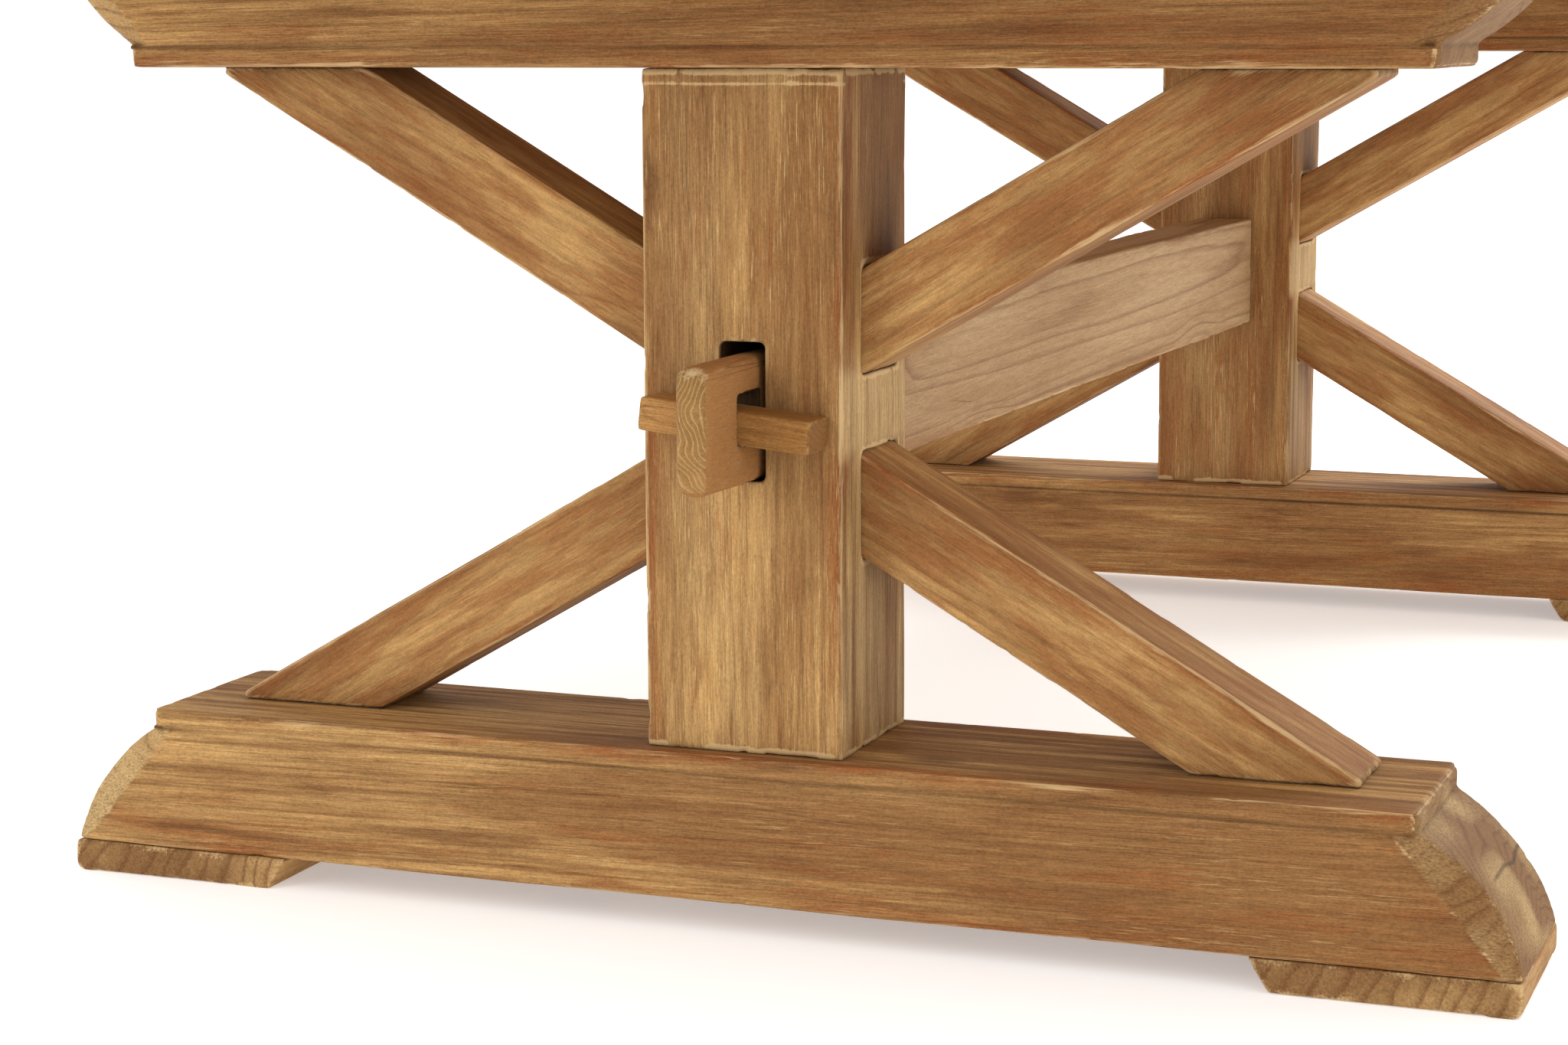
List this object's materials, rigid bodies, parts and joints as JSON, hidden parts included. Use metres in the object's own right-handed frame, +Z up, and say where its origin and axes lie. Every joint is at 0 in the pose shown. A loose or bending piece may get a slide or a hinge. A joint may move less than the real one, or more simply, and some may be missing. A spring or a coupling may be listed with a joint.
{
  "type": "trestle dining table",
  "caption": "Knock-down trestle dining table of reclaimed pine: X-braced posts on moulded feet, a wedged through-tenon stretcher and a plank top with breadboard ends.",
  "frame": {"origin": "on the floor, under the middle of the top", "axes": "+X across the table, +Y along its length towards the rear trestle, +Z up"},
  "size_m": [1.15, 2.134, 0.762],
  "materials": {
    "trestle_pine": "honey-brown stain on reclaimed pine, rubbed through along the edges",
    "stretcher_pine": "paler honey-brown stain on reclaimed pine",
    "wedge_pine": "honey-brown stain on pine",
    "top_pine": "honey-brown stain on reclaimed pine, waxed",
    "peg_oak": "oiled end grain",
    "dowel_beech": "bare turned beech",
    "zinc_steel": "zinc plated"
  },
  "bodies": {
    "table": {"brace_dowels_front": "dowel_beech", "brace_dowels_rear": "dowel_beech", "brace_front_lower_left": "trestle_pine", "brace_front_lower_right": "trestle_pine", "brace_front_upper_left": "trestle_pine", "brace_front_upper_right": "trestle_pine", "brace_rear_lower_left": "trestle_pine", "brace_rear_lower_right": "trestle_pine", "brace_rear_upper_left": "trestle_pine", "brace_rear_upper_right": "trestle_pine", "breadboard_front": "top_pine", "breadboard_pegs_front": "peg_oak", "breadboard_pegs_rear": "peg_oak", "breadboard_rear": "top_pine", "cleat_front": "trestle_pine", "cleat_rear": "trestle_pine", "foot_front": "trestle_pine", "foot_pad_front_left": "trestle_pine", "foot_pad_front_right": "trestle_pine", "foot_pad_rear_left": "trestle_pine", "foot_pad_rear_right": "trestle_pine", "foot_rear": "trestle_pine", "lag_screws_front": "zinc_steel", "lag_screws_rear": "zinc_steel", "lag_washers_front": "zinc_steel", "lag_washers_rear": "zinc_steel", "pad_screws_front": "zinc_steel", "pad_screws_rear": "zinc_steel", "post_front": "trestle_pine", "post_rear": "trestle_pine", "stretcher": "stretcher_pine", "top_board_1": "top_pine", "top_board_2": "top_pine", "top_board_3": "top_pine", "top_board_4": "top_pine", "top_board_5": "top_pine"},
    "wedge_front": {"wedge_front": "wedge_pine"},
    "wedge_rear": {"wedge_rear": "wedge_pine"}
  },
  "joints": [
    {"name": "wedge_front_slide", "type": "slide", "parent": "table", "child": "wedge_front", "axis": [0.9951, 0, -0.0993], "range_m": [0, 0.075]},
    {"name": "wedge_rear_slide", "type": "slide", "parent": "table", "child": "wedge_rear", "axis": [-0.9951, 0, -0.0993], "range_m": [0, 0.075]}
  ]
}
